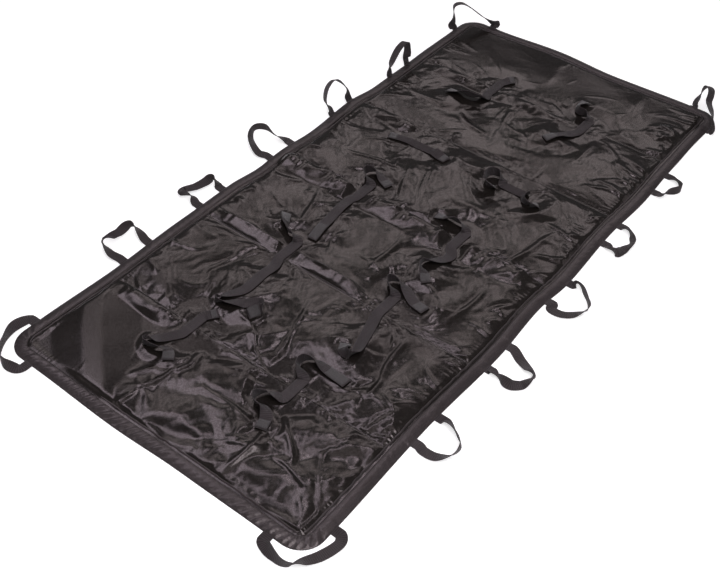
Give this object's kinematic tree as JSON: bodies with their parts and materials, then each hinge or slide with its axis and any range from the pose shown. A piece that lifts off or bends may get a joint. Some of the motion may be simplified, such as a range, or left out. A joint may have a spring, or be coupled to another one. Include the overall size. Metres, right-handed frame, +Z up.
{
  "type": "rescue stretcher",
  "caption": "Soft carry sheet for moving a casualty, with webbing loop handles round its edge, a wrinkled nylon cover and loose patient straps.",
  "frame": {"origin": "centre of the sheet's underside, on the ground", "axes": "+X along the sheet towards the head end, +Y to the left long side, +Z up from the ground"},
  "size_m": [1.9976, 1.1047, 0.0968],
  "materials": {
    "base_fabric": "matte coated fabric",
    "cover_nylon": "glossy nylon taffeta",
    "binding_tape": "satin tape",
    "webbing": "woven webbing",
    "strap_webbing": "woven webbing"
  },
  "bodies": {
    "middle_panel": {"middle_base_sheet": "base_fabric", "cover_section_3": "cover_nylon", "cover_section_4": "cover_nylon", "left_binding": "binding_tape", "right_binding": "binding_tape", "carry_webbing_2": "webbing", "carry_webbing_3": "webbing", "carry_webbing_4": "webbing", "middle_strap_anchors": "strap_webbing"},
    "foot_panel": {"foot_base_sheet": "base_fabric", "cover_section_1": "cover_nylon", "cover_section_2": "cover_nylon", "foot_binding": "binding_tape", "carry_webbing_1": "webbing", "foot_corner_tabs": "webbing", "foot_strap_anchors": "strap_webbing"},
    "head_panel": {"head_base_sheet": "base_fabric", "cover_section_5": "cover_nylon", "cover_section_6": "cover_nylon", "head_binding": "binding_tape", "carry_webbing_5": "webbing", "head_corner_tabs": "webbing", "head_strap_anchors": "strap_webbing"},
    "left_handle_1": {"left_handle_1": "webbing"},
    "left_handle_2": {"left_handle_2": "webbing"},
    "left_handle_3": {"left_handle_3": "webbing"},
    "left_handle_4": {"left_handle_4": "webbing"},
    "left_handle_5": {"left_handle_5": "webbing"},
    "right_handle_1": {"right_handle_1": "webbing"},
    "right_handle_2": {"right_handle_2": "webbing"},
    "right_handle_3": {"right_handle_3": "webbing"},
    "right_handle_4": {"right_handle_4": "webbing"},
    "right_handle_5": {"right_handle_5": "webbing"},
    "foot_left_corner_handle": {"foot_left_corner_handle": "webbing"},
    "foot_right_corner_handle": {"foot_right_corner_handle": "webbing"},
    "head_left_corner_handle": {"head_left_corner_handle": "webbing"},
    "head_right_corner_handle": {"head_right_corner_handle": "webbing"},
    "foot_left_rear_strap": {"foot_left_rear_strap": "strap_webbing"},
    "foot_left_front_strap": {"foot_left_front_strap": "strap_webbing"},
    "foot_right_rear_strap": {"foot_right_rear_strap": "strap_webbing"},
    "foot_right_front_strap": {"foot_right_front_strap": "strap_webbing"},
    "thigh_left_rear_strap": {"thigh_left_rear_strap": "strap_webbing"},
    "thigh_left_front_strap": {"thigh_left_front_strap": "strap_webbing"},
    "thigh_right_rear_strap": {"thigh_right_rear_strap": "strap_webbing"},
    "thigh_right_front_strap": {"thigh_right_front_strap": "strap_webbing"},
    "waist_left_rear_strap": {"waist_left_rear_strap": "strap_webbing"},
    "waist_left_front_strap": {"waist_left_front_strap": "strap_webbing"},
    "waist_right_rear_strap": {"waist_right_rear_strap": "strap_webbing"},
    "waist_right_front_strap": {"waist_right_front_strap": "strap_webbing"},
    "chest_left_outer_strap": {"chest_left_outer_strap": "strap_webbing"},
    "chest_left_inner_strap": {"chest_left_inner_strap": "strap_webbing"},
    "chest_right_inner_strap": {"chest_right_inner_strap": "strap_webbing"},
    "chest_right_outer_strap": {"chest_right_outer_strap": "strap_webbing"},
    "head_left_rear_strap": {"head_left_rear_strap": "strap_webbing"},
    "head_left_front_strap": {"head_left_front_strap": "strap_webbing"},
    "head_right_rear_strap": {"head_right_rear_strap": "strap_webbing"},
    "head_right_front_strap": {"head_right_front_strap": "strap_webbing"}
  },
  "joints": [
    {"name": "foot_fold", "type": "hinge", "parent": "middle_panel", "child": "foot_panel", "pos_m": [-0.336, 0, 0], "axis": [0, -1, 0], "range_deg": [0, 170]},
    {"name": "head_fold", "type": "hinge", "parent": "middle_panel", "child": "head_panel", "pos_m": [0.336, 0, 0.0067], "axis": [0, -1, 0], "range_deg": [0, 120]},
    {"name": "left_handle_1_swing", "type": "hinge", "parent": "foot_panel", "child": "left_handle_1", "pos_m": [-0.55, 0.4515, 0.0021], "axis": [1, 0, 0], "range_deg": [-97, 78]},
    {"name": "left_handle_2_swing", "type": "hinge", "parent": "middle_panel", "child": "left_handle_2", "pos_m": [-0.275, 0.4515, 0.0021], "axis": [1, 0, 0], "range_deg": [-93, 82]},
    {"name": "left_handle_3_swing", "type": "hinge", "parent": "middle_panel", "child": "left_handle_3", "pos_m": [0, 0.4515, 0.0021], "axis": [1, 0, 0], "range_deg": [-95, 80]},
    {"name": "left_handle_4_swing", "type": "hinge", "parent": "middle_panel", "child": "left_handle_4", "pos_m": [0.275, 0.4515, 0.0021], "axis": [-1, 0, 0], "range_deg": [-32, 143]},
    {"name": "left_handle_5_swing", "type": "hinge", "parent": "head_panel", "child": "left_handle_5", "pos_m": [0.55, 0.4515, 0.0021], "axis": [1, 0, 0], "range_deg": [-163, 12]},
    {"name": "right_handle_1_swing", "type": "hinge", "parent": "foot_panel", "child": "right_handle_1", "pos_m": [-0.55, -0.4515, 0.0021], "axis": [-1, 0, 0], "range_deg": [-85, 90]},
    {"name": "right_handle_2_swing", "type": "hinge", "parent": "middle_panel", "child": "right_handle_2", "pos_m": [-0.275, -0.4515, 0.0021], "axis": [-1, 0, 0], "range_deg": [-85, 90]},
    {"name": "right_handle_3_swing", "type": "hinge", "parent": "middle_panel", "child": "right_handle_3", "pos_m": [0, -0.4515, 0.0021], "axis": [-1, 0, 0], "range_deg": [-85, 90]},
    {"name": "right_handle_4_swing", "type": "hinge", "parent": "middle_panel", "child": "right_handle_4", "pos_m": [0.275, -0.4515, 0.0021], "axis": [1, 0, 0], "range_deg": [-90, 85]},
    {"name": "right_handle_5_swing", "type": "hinge", "parent": "head_panel", "child": "right_handle_5", "pos_m": [0.55, -0.4515, 0.0021], "axis": [-1, 0, 0], "range_deg": [-85, 90]},
    {"name": "foot_left_corner_handle_swing", "type": "hinge", "parent": "foot_panel", "child": "foot_left_corner_handle", "pos_m": [-0.9155, 0.4055, 0.0021], "axis": [0.7071, 0.7071, 0], "range_deg": [-80, 88]},
    {"name": "foot_right_corner_handle_swing", "type": "hinge", "parent": "foot_panel", "child": "foot_right_corner_handle", "pos_m": [-0.9155, -0.4055, 0.0021], "axis": [-0.7071, 0.7071, 0], "range_deg": [-80, 88]},
    {"name": "head_left_corner_handle_swing", "type": "hinge", "parent": "head_panel", "child": "head_left_corner_handle", "pos_m": [0.9155, 0.4055, 0.0021], "axis": [0.7071, -0.7071, 0], "range_deg": [-156, 12]},
    {"name": "head_right_corner_handle_swing", "type": "hinge", "parent": "head_panel", "child": "head_right_corner_handle", "pos_m": [0.9155, -0.4055, 0.0021], "axis": [-0.7071, -0.7071, 0], "range_deg": [-142, 26]},
    {"name": "foot_left_rear_strap_lift", "type": "hinge", "parent": "foot_panel", "child": "foot_left_rear_strap", "pos_m": [-0.6653, 0.155, 0.0064], "axis": [0, 1, 0], "range_deg": [0, 90]},
    {"name": "foot_left_front_strap_lift", "type": "hinge", "parent": "foot_panel", "child": "foot_left_front_strap", "pos_m": [-0.6247, 0.155, 0.0064], "axis": [0, 1, 0], "range_deg": [-90, 0]},
    {"name": "foot_right_rear_strap_lift", "type": "hinge", "parent": "foot_panel", "child": "foot_right_rear_strap", "pos_m": [-0.6653, -0.155, 0.0064], "axis": [0, 1, 0], "range_deg": [0, 90]},
    {"name": "foot_right_front_strap_lift", "type": "hinge", "parent": "foot_panel", "child": "foot_right_front_strap", "pos_m": [-0.6247, -0.155, 0.0064], "axis": [0, 1, 0], "range_deg": [-90, 0]},
    {"name": "thigh_left_rear_strap_lift", "type": "hinge", "parent": "middle_panel", "child": "thigh_left_rear_strap", "pos_m": [-0.3253, 0.155, 0.0064], "axis": [0, 1, 0], "range_deg": [0, 90]},
    {"name": "thigh_left_front_strap_lift", "type": "hinge", "parent": "middle_panel", "child": "thigh_left_front_strap", "pos_m": [-0.2847, 0.155, 0.0064], "axis": [0, 1, 0], "range_deg": [-90, 0]},
    {"name": "thigh_right_rear_strap_lift", "type": "hinge", "parent": "middle_panel", "child": "thigh_right_rear_strap", "pos_m": [-0.3253, -0.155, 0.0064], "axis": [0, 1, 0], "range_deg": [0, 90]},
    {"name": "thigh_right_front_strap_lift", "type": "hinge", "parent": "middle_panel", "child": "thigh_right_front_strap", "pos_m": [-0.2847, -0.155, 0.0064], "axis": [0, 1, 0], "range_deg": [-90, 0]},
    {"name": "waist_left_rear_strap_lift", "type": "hinge", "parent": "middle_panel", "child": "waist_left_rear_strap", "pos_m": [-0.0203, 0.155, 0.0064], "axis": [0, 1, 0], "range_deg": [0, 90]},
    {"name": "waist_left_front_strap_lift", "type": "hinge", "parent": "middle_panel", "child": "waist_left_front_strap", "pos_m": [0.0203, 0.155, 0.0064], "axis": [0, 1, 0], "range_deg": [-90, 0]},
    {"name": "waist_right_rear_strap_lift", "type": "hinge", "parent": "middle_panel", "child": "waist_right_rear_strap", "pos_m": [-0.0203, -0.155, 0.0064], "axis": [0, 1, 0], "range_deg": [0, 90]},
    {"name": "waist_right_front_strap_lift", "type": "hinge", "parent": "middle_panel", "child": "waist_right_front_strap", "pos_m": [0.0203, -0.155, 0.0064], "axis": [0, 1, 0], "range_deg": [-90, 0]},
    {"name": "chest_left_outer_strap_lift", "type": "hinge", "parent": "middle_panel", "child": "chest_left_outer_strap", "pos_m": [0.265, 0.1753, 0.0064], "axis": [1, 0, 0], "range_deg": [0, 90]},
    {"name": "chest_left_inner_strap_lift", "type": "hinge", "parent": "middle_panel", "child": "chest_left_inner_strap", "pos_m": [0.265, 0.1347, 0.0064], "axis": [1, 0, 0], "range_deg": [-90, 0]},
    {"name": "chest_right_inner_strap_lift", "type": "hinge", "parent": "middle_panel", "child": "chest_right_inner_strap", "pos_m": [0.265, -0.1347, 0.0064], "axis": [-1, 0, 0], "range_deg": [-90, 0]},
    {"name": "chest_right_outer_strap_lift", "type": "hinge", "parent": "middle_panel", "child": "chest_right_outer_strap", "pos_m": [0.265, -0.1753, 0.0064], "axis": [-1, 0, 0], "range_deg": [0, 90]},
    {"name": "head_left_rear_strap_lift", "type": "hinge", "parent": "head_panel", "child": "head_left_rear_strap", "pos_m": [0.6247, 0.155, 0.0064], "axis": [0, 1, 0], "range_deg": [0, 90]},
    {"name": "head_left_front_strap_lift", "type": "hinge", "parent": "head_panel", "child": "head_left_front_strap", "pos_m": [0.6653, 0.155, 0.0064], "axis": [0, 1, 0], "range_deg": [-90, 0]},
    {"name": "head_right_rear_strap_lift", "type": "hinge", "parent": "head_panel", "child": "head_right_rear_strap", "pos_m": [0.6247, -0.155, 0.0064], "axis": [0, 1, 0], "range_deg": [0, 90]},
    {"name": "head_right_front_strap_lift", "type": "hinge", "parent": "head_panel", "child": "head_right_front_strap", "pos_m": [0.6653, -0.155, 0.0064], "axis": [0, 1, 0], "range_deg": [-90, 0]}
  ]
}
